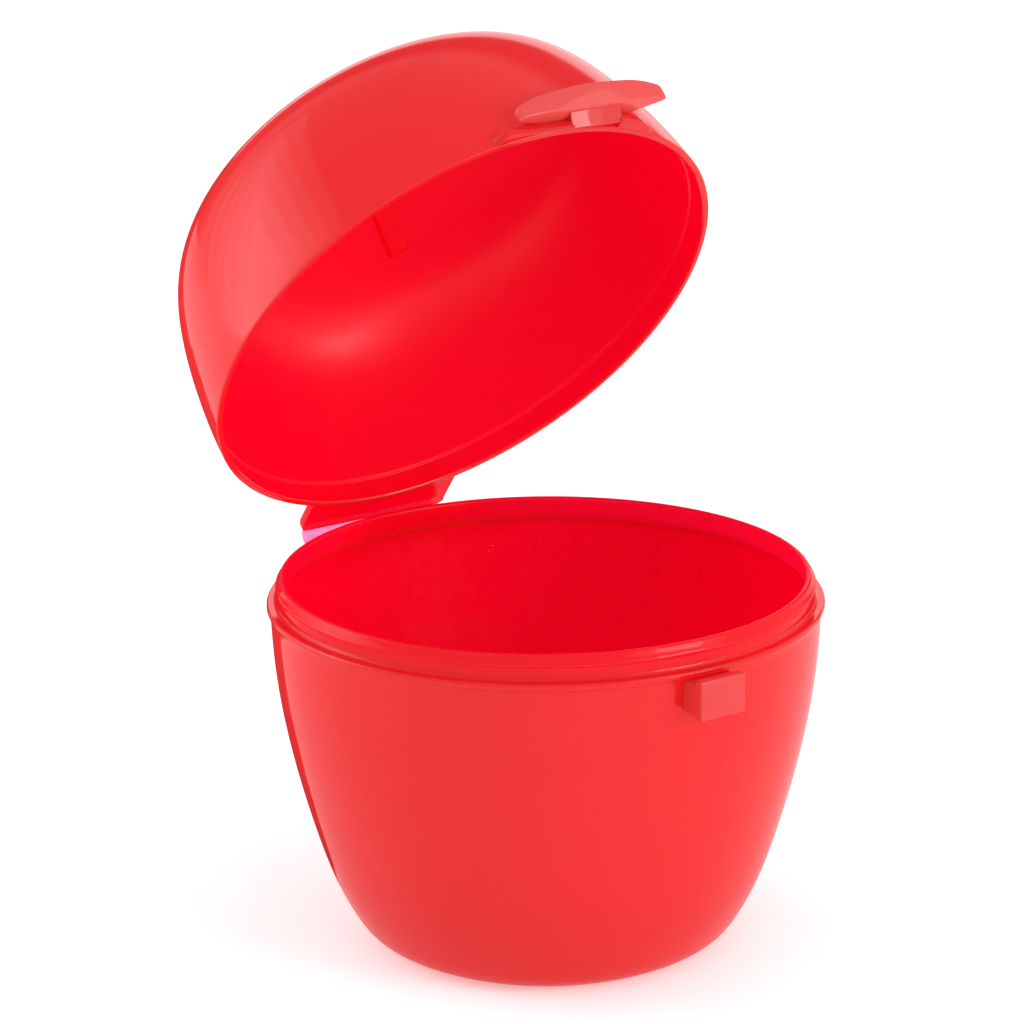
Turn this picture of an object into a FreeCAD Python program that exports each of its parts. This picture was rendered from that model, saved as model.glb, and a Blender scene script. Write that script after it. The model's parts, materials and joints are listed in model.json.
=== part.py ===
import FreeCAD, Part
import math
import os

# Round two-piece storage case for a mouthguard, with the mouthguard lying in
# it.  The case is a thin-walled cup and a domed lid joined by a living hinge.
# Row frame, millimetres: +Z up, origin at the centre of the cup's flat foot.
# -Y is the front (finger catch and thumb tab), +Y is the hinge side.
# The lid is stored standing open.

V = FreeCAD.Vector

# ---------------------------------------------------------------- dimensions
WALL = 1.15            # nominal wall of cup and lid
FLOOR = 1.5            # thickness of the cup's floor
FOOT_R = 26.2          # flat foot
FOOT_H = 0.5
CUP_PTS = [(27.0, 0.5), (29.7, 2.1), (31.95, 5.0), (34.5, 10.0), (37.35, 18.0),
           (40.15, 28.0), (42.3, 38.0), (43.6, 48.0), (44.0, 55.1)]

FLANGE_R = 44.55       # ledge that the lid rim comes down on
FLANGE_Z0 = 55.7
FLANGE_Z1 = 56.6
NECK_R = 42.9          # neck that the lid skirt goes over
NECK_FILLET = 0.65     # between the ledge and the neck
BEAD_R = 43.14         # snap bead round the neck
BEAD_Z = 59.1
LIP_R = 41.98          # centre of the rounded lip
LIP_Z = 60.11
LIP_T = 0.52           # half thickness of the lip

LID_Z = 56.86          # rim plane of the lid when it is shut
LID_PTS = [(44.78, 0.0), (44.5, 3.9), (44.02, 7.75), (43.4, 11.6), (42.62, 15.5),
           (41.64, 19.4), (40.36, 23.3), (38.6, 27.0), (36.1, 30.25), (32.8, 32.75),
           (29.0, 34.55), (25.0, 35.8), (21.1, 36.7), (17.3, 37.3), (12.5, 37.8),
           (7.0, 38.1), (0.0, 38.2)]
SKIRT_R = 43.62        # inside of the lid skirt
SKIRT_H = 3.9          # height of the skirt inside
LID_WALL = 1.25

HINGE_Y = 50.38        # axis of the living hinge, parallel to X
HINGE_Z = 56.09
OPEN_DEG = 53.05       # how far the lid stands open as stored
LEAF_X0, LEAF_X1 = -14.0, 14.8
LEAF_END = 49.15       # both hinge leaves end here (y, lid shut)
CUP_LEAF_Z = (54.5, 55.55)
LID_LEAF_Z = (56.95, 58.3)
LEAF_R = 0.85          # rounding of the leaves' outer edges
WEB_T = 0.42           # thickness of the hinge film
WEB_Z = (55.2, 57.2)   # where the film leaves the cup leaf and the lid leaf
WEB_BULGE = 4.6        # how strongly the film bows outwards

CATCH_X0, CATCH_X1 = -6.35, 2.05     # finger catch under the flange
CATCH_OUT = 47.8
CATCH_PLATE_T = 1.6
CATCH_Z_TOP = 56.0
CATCH_Z_STEM = (50.4, 55.2)
CATCH_Z_PLATE = 49.8

# thumb tab: shelf with a turned-up front that leans outwards; x, y and height
# above the lid's rim plane along the foot and along the top of the front
TAB_X = [-8.2, -5.0, 0.0, 6.3, 12.0, 17.0, 19.9]
TAB_FOOT_Y = [-46.5, -46.85, -47.1, -47.2, -47.15, -47.05, -46.95]
TAB_TOP_Y = [-47.1, -47.6, -48.45, -49.05, -48.85, -48.0, -47.4]
TAB_TOP_H = [4.1, 5.0, 5.35, 5.5, 5.35, 5.05, 4.25]
TAB_H0 = 2.2           # underside of the shelf
TAB_T = 1.3
TAB_BACK = [(19.2, -45.7), (12.1, -43.5), (10.4, -40.0), (2.3, -40.0), (0.5, -43.5), (-7.4, -45.3)]
LUG_X0, LUG_X1 = 1.3, 10.9
LUG_YH = [(-44.75, 0.12), (-44.85, 0.35), (-46.4, 2.2)]   # front of the wedge: y, height
APRON_Y = -45.1        # flat front of the apron
APRON_LEFT = [(-12.7, -42.6), (-11.0, -45.1)]
APRON_RIGHT = [(12.0, -45.1), (14.8, -44.1), (17.4, -42.1), (20.2, -39.3)]
APRON_H = (0.1, 1.65)

RIB_AZ = 57.0          # direction of the strip inside the dome
RIB_W = 3.5
RIB_T = 0.9
RIB_R0, RIB_R1 = 4.0, 26.4

GUARD_Z0 = 1.9         # underside of the mouthguard
GUARD_H = 20.0


# ------------------------------------------------------------------- helpers
def spline(pts, t0=None, t1=None):
    c = Part.BSplineCurve()
    vs = [V(r, 0, z) for r, z in pts]
    if t0 is not None and t1 is not None:
        c.interpolate(Points=vs, InitialTangent=V(t0[0], 0, t0[1]), FinalTangent=V(t1[0], 0, t1[1]))
    else:
        c.interpolate(vs)
    return c


def offset_pts(curve, dist, n, z_min=None, z_max=None):
    """Points of a curve in the XZ plane moved to its left by dist."""
    out = []
    a, b = curve.FirstParameter, curve.LastParameter
    for i in range(n):
        u = a + (b - a) * i / (n - 1)
        p = curve.value(u)
        t = curve.tangent(u)[0]
        q = (p.x - t.z * dist, p.z + t.x * dist)
        if z_min is not None and q[1] < z_min:
            continue
        if z_max is not None and q[1] > z_max:
            continue
        out.append(q)
    return out


def lines(pts):
    return [Part.LineSegment(V(a[0], 0, a[1]), V(b[0], 0, b[1])).toShape()
            for a, b in zip(pts[:-1], pts[1:])]


def arc(a, m, b):
    return Part.Arc(V(a[0], 0, a[1]), V(m[0], 0, m[1]), V(b[0], 0, b[1])).toShape()


def revolve(edges):
    wire = Part.Wire(edges)
    face = Part.Face(wire)
    s = face.revolve(V(0, 0, 0), V(0, 0, 1), 360)
    if s.ShapeType != "Solid":
        s = Part.Solid(s.Shells[0])
    if s.Volume < 0:
        s.reverse()
    return s


def open_lid(shape):
    """Turn a shape modelled with the lid shut to the stored, open pose."""
    s = shape.copy()
    s.rotate(V(0, HINGE_Y, HINGE_Z), V(1, 0, 0), -OPEN_DEG)
    return s


def box(x0, x1, y0, y1, z0, z1):
    return Part.makeBox(x1 - x0, y1 - y0, z1 - z0, V(x0, y0, z0))


def prism_x(pts, x0, x1):
    """Prism along X of a polygon given as (y, z)."""
    w = Part.makePolygon([V(x0, y, z) for y, z in pts] + [V(x0, pts[0][0], pts[0][1])])
    return Part.Face(w).extrude(V(x1 - x0, 0, 0))


def one_solid(shape):
    best = max(shape.Solids, key=lambda s: s.Volume)
    if best.Volume < 0:
        best.reverse()
    return best


# ------------------------------------------------------------------ cup shell
cup_outer = spline(CUP_PTS)
inner_pts = offset_pts(cup_outer, WALL, 22)
inner_pts = [p for p in inner_pts if p[1] > FLOOR + 0.05]
inner_pts = [(26.35, FLOOR)] + inner_pts[:-1] + [(42.86, 55.0)]
cup_inner = spline(inner_pts)

lip_in = (LIP_R - LIP_T, LIP_Z)
lip_top = (LIP_R, LIP_Z + LIP_T)
lip_out = (LIP_R + LIP_T, LIP_Z)
edges = lines([(0, 0), (FOOT_R - 0.25, 0), (FOOT_R, 0.2), (FOOT_R + 0.1, FOOT_H), CUP_PTS[0]])
edges.append(cup_outer.toShape())
edges += lines([CUP_PTS[-1], (44.1, 55.35), (FLANGE_R - 0.12, FLANGE_Z0 - 0.12)])
edges.append(arc((FLANGE_R - 0.12, FLANGE_Z0 - 0.12), (FLANGE_R, FLANGE_Z0 + 0.3), (FLANGE_R - 0.1, FLANGE_Z1 - 0.15)))
edges += lines([(FLANGE_R - 0.1, FLANGE_Z1 - 0.15), (FLANGE_R - 0.28, FLANGE_Z1), (NECK_R + NECK_FILLET, FLANGE_Z1)])
nk = NECK_FILLET * (1 - math.sqrt(0.5))
edges.append(arc((NECK_R + NECK_FILLET, FLANGE_Z1), (NECK_R + nk, FLANGE_Z1 + nk), (NECK_R, FLANGE_Z1 + NECK_FILLET)))
edges += lines([(NECK_R, FLANGE_Z1 + NECK_FILLET), (NECK_R, 58.62), (BEAD_R - 0.06, BEAD_Z - 0.22)])
edges.append(arc((BEAD_R - 0.06, BEAD_Z - 0.22), (BEAD_R, BEAD_Z), (BEAD_R - 0.12, BEAD_Z + 0.25)))
edges += lines([(BEAD_R - 0.12, BEAD_Z + 0.25), lip_out])
edges.append(arc(lip_out, lip_top, lip_in))
edges += lines([lip_in, (LIP_R - LIP_T, 57.75), (42.86, 55.85), inner_pts[-1]])
edges.append(cup_inner.toShape())
edges += lines([inner_pts[0], (0, FLOOR), (0, 0)])
cup_shell = revolve(edges)

# the same cup with its inside filled, to trim what is moulded onto its outside
fill_edges = lines([(0, 0.1), (FOOT_R, 0.1), (FOOT_R + 0.1, FOOT_H), CUP_PTS[0]])
fill_edges.append(cup_outer.toShape())
fill_edges += lines([CUP_PTS[-1], (44.1, 55.35), (FLANGE_R - 0.12, FLANGE_Z0 - 0.12)])
fill_edges.append(arc((FLANGE_R - 0.12, FLANGE_Z0 - 0.12), (FLANGE_R, FLANGE_Z0 + 0.3), (FLANGE_R - 0.1, FLANGE_Z1 - 0.15)))
fill_edges += lines([(FLANGE_R - 0.1, FLANGE_Z1 - 0.15), (0, FLANGE_Z1 - 0.15), (0, 0.1)])
cup_filled = revolve(fill_edges)

# ------------------------------------------------------------------ cup catch
# a plate held off the wall by a shorter stem, hanging down past it
catch = box(CATCH_X0, CATCH_X1, -(CATCH_OUT - CATCH_PLATE_T), -38.0, *CATCH_Z_STEM)
plate = box(CATCH_X0, CATCH_X1, -CATCH_OUT, -(CATCH_OUT - CATCH_PLATE_T), CATCH_Z_PLATE, CATCH_Z_TOP)
vert = [e for e in plate.Edges if abs(e.Vertexes[0].Y + CATCH_OUT) < 1e-6 and abs(e.Vertexes[1].Y + CATCH_OUT) < 1e-6]
plate = plate.makeFillet(0.35, vert)
catch = catch.fuse(plate).removeSplitter()
cup_catch = one_solid(catch.cut(cup_filled))

# ----------------------------------------------------------------- hinge leaves
def leaf_solid(x0, x1, z0, z1, round_top):
    """Flat leaf with rounded corners in plan and its outer end edge rounded."""
    r = LEAF_R
    plan = box(x0, x1, 38.0, LEAF_END, z0, z1)
    corner = [e for e in plan.Edges
              if abs(e.Vertexes[0].Y - LEAF_END) < 1e-6 and abs(e.Vertexes[1].Y - LEAF_END) < 1e-6
              and abs(e.Vertexes[0].X - e.Vertexes[1].X) < 1e-6]
    plan = plan.makeFillet(1.0, corner)
    far, d = (z1, -1) if round_top else (z0, 1)
    near = z0 if round_top else z1
    k = r * (1 - math.sqrt(0.5))
    P = [V(x0 - 1, 37.0, near), V(x0 - 1, LEAF_END, near), V(x0 - 1, LEAF_END, far + d * r),
         V(x0 - 1, LEAF_END - k, far + d * k), V(x0 - 1, LEAF_END - r, far), V(x0 - 1, 37.0, far)]
    wire = Part.Wire([Part.LineSegment(P[0], P[1]).toShape(), Part.LineSegment(P[1], P[2]).toShape(),
                      Part.Arc(P[2], P[3], P[4]).toShape(), Part.LineSegment(P[4], P[5]).toShape(),
                      Part.LineSegment(P[5], P[0]).toShape()])
    side = Part.Face(wire).extrude(V(x1 - x0 + 2, 0, 0))
    return plan.common(side)


cup_hinge_leaf = one_solid(leaf_solid(LEAF_X0 - 0.6, LEAF_X1 + 0.4, *CUP_LEAF_Z, round_top=False).cut(cup_filled))

# ------------------------------------------------------------------- lid shell
lid_abs = [(r, LID_Z + h) for r, h in LID_PTS]
lid_outer = spline(lid_abs, (-0.05, 1.0), (-1.0, 0.0))
lid_in_pts = offset_pts(lid_outer, LID_WALL, 40, z_min=LID_Z + SKIRT_H + 0.9)
lid_in_pts = [(43.2, LID_Z + SKIRT_H + 0.3)] + lid_in_pts[:-1]
lid_in_pts.append((0.0, LID_Z + LID_PTS[-1][1] - LID_WALL))
n = len(lid_in_pts)
lid_inner = spline(lid_in_pts, (-0.06, 1.0), (-1.0, 0.0))
RIM_IN = SKIRT_R
le = [lid_outer.toShape()]
le += lines([lid_abs[-1], (0.0, lid_in_pts[-1][1])])
le.append(lid_inner.toShape())
le += lines([lid_in_pts[0], (RIM_IN, LID_Z + SKIRT_H), (RIM_IN, LID_Z + 0.3), (RIM_IN + 0.25, LID_Z), lid_abs[0]])
lid_closed = revolve(le)

fe = [lid_outer.toShape()] + lines([lid_abs[-1], (0.0, LID_Z), lid_abs[0]])
lid_filled = revolve(fe)
lid_shell = open_lid(lid_closed)

# leaf on the lid, straight back from the rim
lid_hinge_leaf = open_lid(one_solid(leaf_solid(LEAF_X0, LEAF_X1, *LID_LEAF_Z, round_top=True).cut(lid_filled)))

# -------------------------------------------------------------------- thumb tab
# a crescent shelf held off the lid wall, free at both tips
run = [V(x, y + 0.7, LID_Z + TAB_H0) for x, y in zip(TAB_X, TAB_FOOT_Y)]
run[0].x += 0.05
run[-1].x -= 0.05
run += [V(x, y, LID_Z + TAB_H0) for x, y in TAB_BACK]
shelf = Part.Face(Part.makePolygon(run + [run[0]]))
shelf = shelf.extrude(V(0, 0, TAB_T))
sections = []
for x, yf, yt, h in zip(TAB_X, TAB_FOOT_Y, TAB_TOP_Y, TAB_TOP_H):
    sections.append(Part.makePolygon([V(x, yf, LID_Z + TAB_H0), V(x, yt, LID_Z + h), V(x, yt + 1.2, LID_Z + h),
                                      V(x, yf + 1.45, LID_Z + TAB_H0 + 0.9), V(x, yf, LID_Z + TAB_H0)]))
lip = Part.makeLoft(sections, True, False)
if lip.Volume < 0:
    lip.reverse()
lid_tab = open_lid(one_solid(shelf.fuse(lip).cut(lid_filled)))

# wedge under the tab that ties it to the lid's rim
lug = prism_x([(-40.0, LID_Z + 1.9), (-43.4, LID_Z + LUG_YH[0][1] + 0.62)] + [(y, LID_Z + h) for y, h in LUG_YH] + [(-40.0, LID_Z + TAB_H0)],
              LUG_X0, LUG_X1)
lid_tab_lug = open_lid(one_solid(lug.cut(lid_filled)))


# apron: a low flat-fronted block on the skirt, either side of the lug
def apron(edges):
    face = Part.Face(Part.Wire(edges))
    face.translate(V(0, 0, LID_Z + APRON_H[0]))
    return one_solid(face.extrude(V(0, 0, APRON_H[1] - APRON_H[0])).cut(lid_filled))


def flat(pts):
    return [Part.LineSegment(V(p[0], p[1], 0), V(q[0], q[1], 0)).toShape() for p, q in zip(pts[:-1], pts[1:])]


left = apron(flat([(-12.7, -38.0)] + APRON_LEFT + [(LUG_X0, APRON_Y), (LUG_X0, -38.0), (-12.7, -38.0)]))
bend = Part.BSplineCurve()
bend.interpolate([V(x, y, 0) for x, y in APRON_RIGHT])
right = apron([bend.toShape()] + flat([APRON_RIGHT[-1], (LUG_X1, -36.0), (LUG_X1, APRON_Y), APRON_RIGHT[0]]))
lid_apron = open_lid(Part.makeCompound([left, right]))

# raised strip along the inside of the dome, from near its middle outwards
shallow_pts = offset_pts(lid_outer, LID_WALL + RIB_T, 40, z_min=LID_Z + SKIRT_H + 1.2)
shallow_pts = shallow_pts[:-1] + [(0.0, LID_Z + LID_PTS[-1][1] - LID_WALL - RIB_T)]
shallow = spline(shallow_pts, (-0.06, 1.0), (-1.0, 0.0))


def filled_to_axis(curve, pts):
    return revolve([curve.toShape()] + lines([pts[-1], (0.0, pts[0][1]), pts[0]]))


rib = box(RIB_R0, RIB_R1, -RIB_W / 2, RIB_W / 2, LID_Z + 20.0, LID_Z + 45.0)
vert = [e for e in rib.Edges if abs(e.Vertexes[0].Z - e.Vertexes[1].Z) > 1.0]
rib = rib.makeFillet(0.7, vert)
rib.rotate(V(0, 0, 0), V(0, 0, 1), RIB_AZ)
rib = rib.common(filled_to_axis(lid_inner, lid_in_pts)).cut(filled_to_axis(shallow, shallow_pts))
lid_rib = open_lid(one_solid(rib))

# ------------------------------------------------------------------- hinge film
# bends between the two leaves; drawn as it stands with the lid stored open
c, s = math.cos(math.radians(OPEN_DEG)), math.sin(math.radians(OPEN_DEG))


def opened(y, z):
    dy, dz = y - HINGE_Y, z - HINGE_Z
    return (HINGE_Y + dy * c + dz * s, HINGE_Z - dy * s + dz * c)


p0 = (LEAF_END, WEB_Z[0])
p1 = opened(LEAF_END + 0.04, WEB_Z[1])
path, normal = [], []
for i in range(9):
    t = i / 8
    pos, vel = [], []
    for a0, a1, d0, d1 in ((p0[0], p1[0], WEB_BULGE, -c * WEB_BULGE), (p0[1], p1[1], 0.0, s * WEB_BULGE)):
        pos.append((2*t**3 - 3*t**2 + 1) * a0 + (t**3 - 2*t**2 + t) * d0 + (3*t**2 - 2*t**3) * a1 + (t**3 - t**2) * d1)
        vel.append((6*t**2 - 6*t) * a0 + (3*t**2 - 4*t + 1) * d0 + (6*t - 6*t**2) * a1 + (3*t**2 - 2*t) * d1)
    ln = math.hypot(*vel)
    path.append(pos)
    normal.append((-vel[1] / ln, vel[0] / ln))
x_web = LEAF_X0 + 0.4
sides = []
for sgn in (1, -1):
    side = Part.BSplineCurve()
    side.interpolate([V(x_web, p[0] + sgn * q[0] * WEB_T / 2, p[1] + sgn * q[1] * WEB_T / 2) for p, q in zip(path, normal)])
    sides.append(side)
u, w = sides
web_wire = Part.Wire([u.toShape(), Part.LineSegment(u.value(u.LastParameter), w.value(w.LastParameter)).toShape(),
                      w.toShape(), Part.LineSegment(w.value(w.FirstParameter), u.value(u.FirstParameter)).toShape()])
web = Part.Face(web_wire).extrude(V(LEAF_X1 - LEAF_X0 - 0.8, 0, 0))
hinge_web = web


# ------------------------------------------------------------------- mouthguard
def arch(front_y, half, rear_y, n=9):
    """Half-ellipse arch with straight legs, front towards -Y; left to right."""
    pts = []
    legs = rear_y
    turn = front_y + half * 0.98
    pts.append(V(-half, legs, 0))
    pts.append(V(-half, (legs + turn) / 2, 0))
    for i in range(n):
        a = math.pi * i / (n - 1)
        pts.append(V(-half * math.cos(a), turn - (turn - front_y) * math.sin(a), 0))
    pts.append(V(half, (legs + turn) / 2, 0))
    pts.append(V(half, legs, 0))
    return pts


def band(front_y, half, rear_y, width, z, rear_in=0.0):
    """Closed U-shaped wire at height z, outer arch minus an inner arch."""
    o = arch(front_y, half, rear_y)
    i = arch(front_y + width, half - width, rear_y)
    for p in o + i:
        p.z = z
        p.x = p.x * (1.0 + 0.0 * p.y)
    oc, ic = Part.BSplineCurve(), Part.BSplineCurve()
    oc.interpolate(o)
    ic.interpolate(i)
    return Part.Wire([oc.toShape(), Part.LineSegment(o[-1], i[-1]).toShape(),
                      ic.toShape(), Part.LineSegment(i[0], o[0]).toShape()])


def u_solid(bottom, top):
    lo = Part.makeLoft([bottom, top], True, True)
    if lo.Volume < 0:
        lo.reverse()
    return lo


Z0, Z1 = GUARD_Z0, GUARD_Z0 + GUARD_H
outer = u_solid(band(-24.0, 22.6, 13.6, 12.6, Z0), band(-28.6, 27.2, 16.4, 15.4, Z1))
chan_o = (-23.2, 21.8, -26.3, 24.9)
trough = u_solid(band(-22.6, 21.2, 13.9, 9.6, Z0 + 2.2), band(-26.5, 25.1, 16.8, 11.7, Z1 + 0.6))
guard_shell = outer.cut(trough)
# lower the wall on the tongue side
tongue_cut = u_solid(band(-20.0, 18.6, 20.0, 18.0, Z0 + 14.5), band(-20.6, 19.2, 20.0, 18.0, Z1 + 2.0))
guard_shell = one_solid(guard_shell.cut(tongue_cut))

liner_out = u_solid(band(-22.5, 21.1, 13.8, 9.4, Z0 + 2.3), band(-25.9, 24.5, 16.2, 11.1, Z0 + 17.6))
teeth = u_solid(band(-20.9, 19.5, 18.0, 6.2, Z0 + 4.6), band(-24.2, 22.8, 21.0, 7.6, Z0 + 19.0))
liner = liner_out.cut(teeth)
liner = liner.cut(u_solid(band(-19.6, 18.2, 20.0, 17.6, Z0 + 13.2), band(-20.2, 18.8, 20.0, 17.6, Z0 + 19.0)))
guard_liner = one_solid(liner.cut(guard_shell))

# ---------------------------------------------------------------------- output
NODES = {
    "cup_shell": cup_shell,
    "cup_catch": cup_catch,
    "cup_hinge_leaf": cup_hinge_leaf,
    "hinge_web": hinge_web,
    "lid_shell": lid_shell,
    "lid_hinge_leaf": lid_hinge_leaf,
    "lid_tab": lid_tab,
    "lid_tab_lug": lid_tab_lug,
    "lid_apron": lid_apron,
    "lid_rib": lid_rib,
    "guard_shell": guard_shell,
    "guard_liner": guard_liner,
}

os.makedirs("parts", exist_ok=True)
for name, shape in NODES.items():
    bb = shape.BoundBox
    print("%-16s %-9s valid=%s vol=%9.1f  x[%.2f %.2f] y[%.2f %.2f] z[%.2f %.2f] solids=%d" % (
        name, shape.ShapeType, shape.isValid(), shape.Volume,
        bb.XMin, bb.XMax, bb.YMin, bb.YMax, bb.ZMin, bb.ZMax, len(shape.Solids)))
    shape.exportStep("parts/%s.step" % name)
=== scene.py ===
import json
import math
import bpy
import bmesh
import numpy as np
from mathutils import Matrix, Vector


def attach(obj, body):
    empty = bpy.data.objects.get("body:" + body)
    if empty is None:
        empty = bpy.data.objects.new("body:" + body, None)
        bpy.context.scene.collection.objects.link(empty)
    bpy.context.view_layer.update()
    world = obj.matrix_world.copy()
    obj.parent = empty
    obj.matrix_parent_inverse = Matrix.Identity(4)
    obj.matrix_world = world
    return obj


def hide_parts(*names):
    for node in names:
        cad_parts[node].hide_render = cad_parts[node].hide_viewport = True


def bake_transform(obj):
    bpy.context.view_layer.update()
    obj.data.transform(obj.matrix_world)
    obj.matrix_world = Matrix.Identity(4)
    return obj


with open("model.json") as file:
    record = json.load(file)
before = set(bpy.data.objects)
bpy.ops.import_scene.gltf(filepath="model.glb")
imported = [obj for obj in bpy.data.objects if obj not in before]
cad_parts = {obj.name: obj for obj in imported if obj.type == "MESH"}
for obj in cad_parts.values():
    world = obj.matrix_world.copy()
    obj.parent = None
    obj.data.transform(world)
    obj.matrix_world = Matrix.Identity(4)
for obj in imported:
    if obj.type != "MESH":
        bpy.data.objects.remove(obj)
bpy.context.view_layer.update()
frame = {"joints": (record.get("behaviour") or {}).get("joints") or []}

MM = 0.001
scene = bpy.context.scene

# ------------------------------------------------------------------ camera
AZ, EL, ROLL = math.radians(-35.797), math.radians(16.491), math.radians(-0.504)
DIST, F_PX, OX, OY = 600.0, 3732.37, -5.4696, 24.214
back = Vector((math.sin(AZ) * math.cos(EL), -math.cos(AZ) * math.cos(EL), math.sin(EL)))
right = Vector((math.cos(AZ), math.sin(AZ), 0.0))
up = back.cross(right)
right, up = right * math.cos(ROLL) + up * math.sin(ROLL), up * math.cos(ROLL) - right * math.sin(ROLL)
cam_pos = (Vector((0, 0, 45.0)) + right * OX + up * OY + back * DIST) * MM
cam_data = bpy.data.cameras.new("camera")
cam_data.sensor_width = 36.0
cam_data.lens = F_PX * 36.0 / 1024.0
cam_data.clip_start = 0.01
cam_data.clip_end = 20.0
cam = bpy.data.objects.new("camera", cam_data)
m = Matrix((right, up, back)).transposed().to_4x4()
m.translation = cam_pos
cam.matrix_world = m
scene.collection.objects.link(cam)
scene.camera = cam

# ------------------------------------------------------- dimensions, mm
joint = next(j for j in frame["joints"] if j["name"] == "lid_hinge")
HINGE_Y, HINGE_Z = joint["pos_m"][1] / MM, joint["pos_m"][2] / MM
OPEN = math.radians(53.05)
WALL, FLOOR = 1.15, 1.5
FOOT_R, FOOT_H = 26.2, 0.5
CUP_PTS = [(27.0, 0.5), (29.7, 2.1), (31.95, 5.0), (34.5, 10.0), (37.35, 18.0),
           (40.15, 28.0), (42.3, 38.0), (43.6, 48.0), (44.0, 55.1)]
LID_Z = 56.86
LID_PTS = [(44.78, 0.0), (44.5, 3.9), (44.02, 7.75), (43.4, 11.6), (42.62, 15.5),
           (41.64, 19.4), (40.36, 23.3), (38.6, 27.0), (36.1, 30.25), (32.8, 32.75),
           (29.0, 34.55), (25.0, 35.8), (21.1, 36.7), (17.3, 37.3), (12.5, 37.8),
           (7.0, 38.1), (0.0, 38.2)]
LID_WALL = 1.25
SEG = 288


# ------------------------------------------------------------- mesh helpers
def cubic(pts, n, t0=None, t1=None):
    """Cubic spline through points, by chord length; returns n points and unit tangents."""
    p = np.array(pts, float)
    d = np.linalg.norm(np.diff(p, axis=0), axis=1)
    u = np.concatenate([[0], np.cumsum(d)])
    k = len(p)
    A = np.zeros((k, k))
    B = np.zeros((k, 2))
    h = np.diff(u)
    for i in range(1, k - 1):
        A[i, i - 1] = h[i]
        A[i, i] = 2 * (h[i - 1] + h[i])
        A[i, i + 1] = h[i - 1]
        B[i] = 3 * (h[i] * (p[i] - p[i - 1]) / h[i - 1] + h[i - 1] * (p[i + 1] - p[i]) / h[i])
    if t0 is None:
        A[0, 0], A[0, 1] = 2, 1
        B[0] = 3 * (p[1] - p[0]) / h[0]
    else:
        A[0, 0] = 1
        B[0] = np.array(t0, float) / np.linalg.norm(t0)
    if t1 is None:
        A[-1, -1], A[-1, -2] = 2, 1
        B[-1] = 3 * (p[-1] - p[-2]) / h[-1]
    else:
        A[-1, -1] = 1
        B[-1] = np.array(t1, float) / np.linalg.norm(t1)
    D = np.linalg.solve(A, B)
    s = np.linspace(0, u[-1], n)
    j = np.clip(np.searchsorted(u, s, side="right") - 1, 0, k - 2)
    t = ((s - u[j]) / h[j])[:, None]
    H = h[j][:, None]
    q = ((2 * t**3 - 3 * t**2 + 1) * p[j] + (t**3 - 2 * t**2 + t) * H * D[j]
         + (-2 * t**3 + 3 * t**2) * p[j + 1] + (t**3 - t**2) * H * D[j + 1])
    g = ((6 * t**2 - 6 * t) * p[j] / H + (3 * t**2 - 4 * t + 1) * D[j]
         + (-6 * t**2 + 6 * t) * p[j + 1] / H + (3 * t**2 - 2 * t) * D[j + 1])
    g /= np.linalg.norm(g, axis=1)[:, None]
    return q, g


def offset(q, g, dist):
    return np.stack([q[:, 0] - g[:, 1] * dist, q[:, 1] + g[:, 0] * dist], 1)


def rounded(pts, radii, n=5):
    """Polyline with its inner corners rounded; radii has one number per point."""
    out = [tuple(pts[0])]
    for i in range(1, len(pts) - 1):
        a, b, c = (np.array(pts[j], float) for j in (i - 1, i, i + 1))
        r = radii[i]
        if r <= 0:
            out.append(tuple(b))
            continue
        va, vc = a - b, c - b
        la, lc = np.linalg.norm(va), np.linalg.norm(vc)
        va, vc = va / la, vc / lc
        ang = math.acos(max(-1, min(1, float(va @ vc))))
        if ang > math.pi - 1e-3:
            out.append(tuple(b))
            continue
        t = min(r / math.tan(ang / 2), 0.49 * la, 0.49 * lc)
        r2 = t * math.tan(ang / 2)
        bis = (va + vc) / np.linalg.norm(va + vc)
        ctr = b + bis * (r2 / math.sin(ang / 2))
        s, e = b + va * t, b + vc * t
        a0 = math.atan2(*(s - ctr)[::-1])
        a1 = math.atan2(*(e - ctr)[::-1])
        da = (a1 - a0 + math.pi) % (2 * math.pi) - math.pi
        for k in range(n + 1):
            w = a0 + da * k / n
            out.append((ctr[0] + r2 * math.cos(w), ctr[1] + r2 * math.sin(w)))
    out.append(tuple(pts[-1]))
    return out


def new_object(name, bm, smooth=True):
    me = bpy.data.meshes.new(name)
    bm.normal_update()
    bm.to_mesh(me)
    bm.free()
    ob = bpy.data.objects.new(name, me)
    scene.collection.objects.link(ob)
    for p in me.polygons:
        p.use_smooth = smooth
    return ob


def lathe(name, prof, seg=SEG):
    """Closed body of revolution from a profile (r, z) in mm; ends that lie on the axis become a pole."""
    bm = bmesh.new()
    rings = []
    for r, z in prof:
        if r < 1e-5:
            rings.append([bm.verts.new((0, 0, z * MM))])
        else:
            rings.append([bm.verts.new((r * MM * math.cos(2 * math.pi * k / seg), r * MM * math.sin(2 * math.pi * k / seg), z * MM))
                          for k in range(seg)])
    for a, b in zip(rings[:-1], rings[1:]):
        for k in range(seg):
            k2 = (k + 1) % seg
            if len(a) == 1 and len(b) == 1:
                continue
            if len(a) == 1:
                bm.faces.new((a[0], b[k2], b[k]))
            elif len(b) == 1:
                bm.faces.new((a[k], a[k2], b[0]))
            else:
                bm.faces.new((a[k], a[k2], b[k2], b[k]))
    bmesh.ops.recalc_face_normals(bm, faces=bm.faces)
    return new_object(name, bm)


def open_lid(ob):
    """From lid-shut coordinates to the stored open pose."""
    T = Matrix.Translation((0, HINGE_Y * MM, HINGE_Z * MM))
    ob.data.transform(T @ Matrix.Rotation(-OPEN, 4, "X") @ T.inverted())
    return ob


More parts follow.
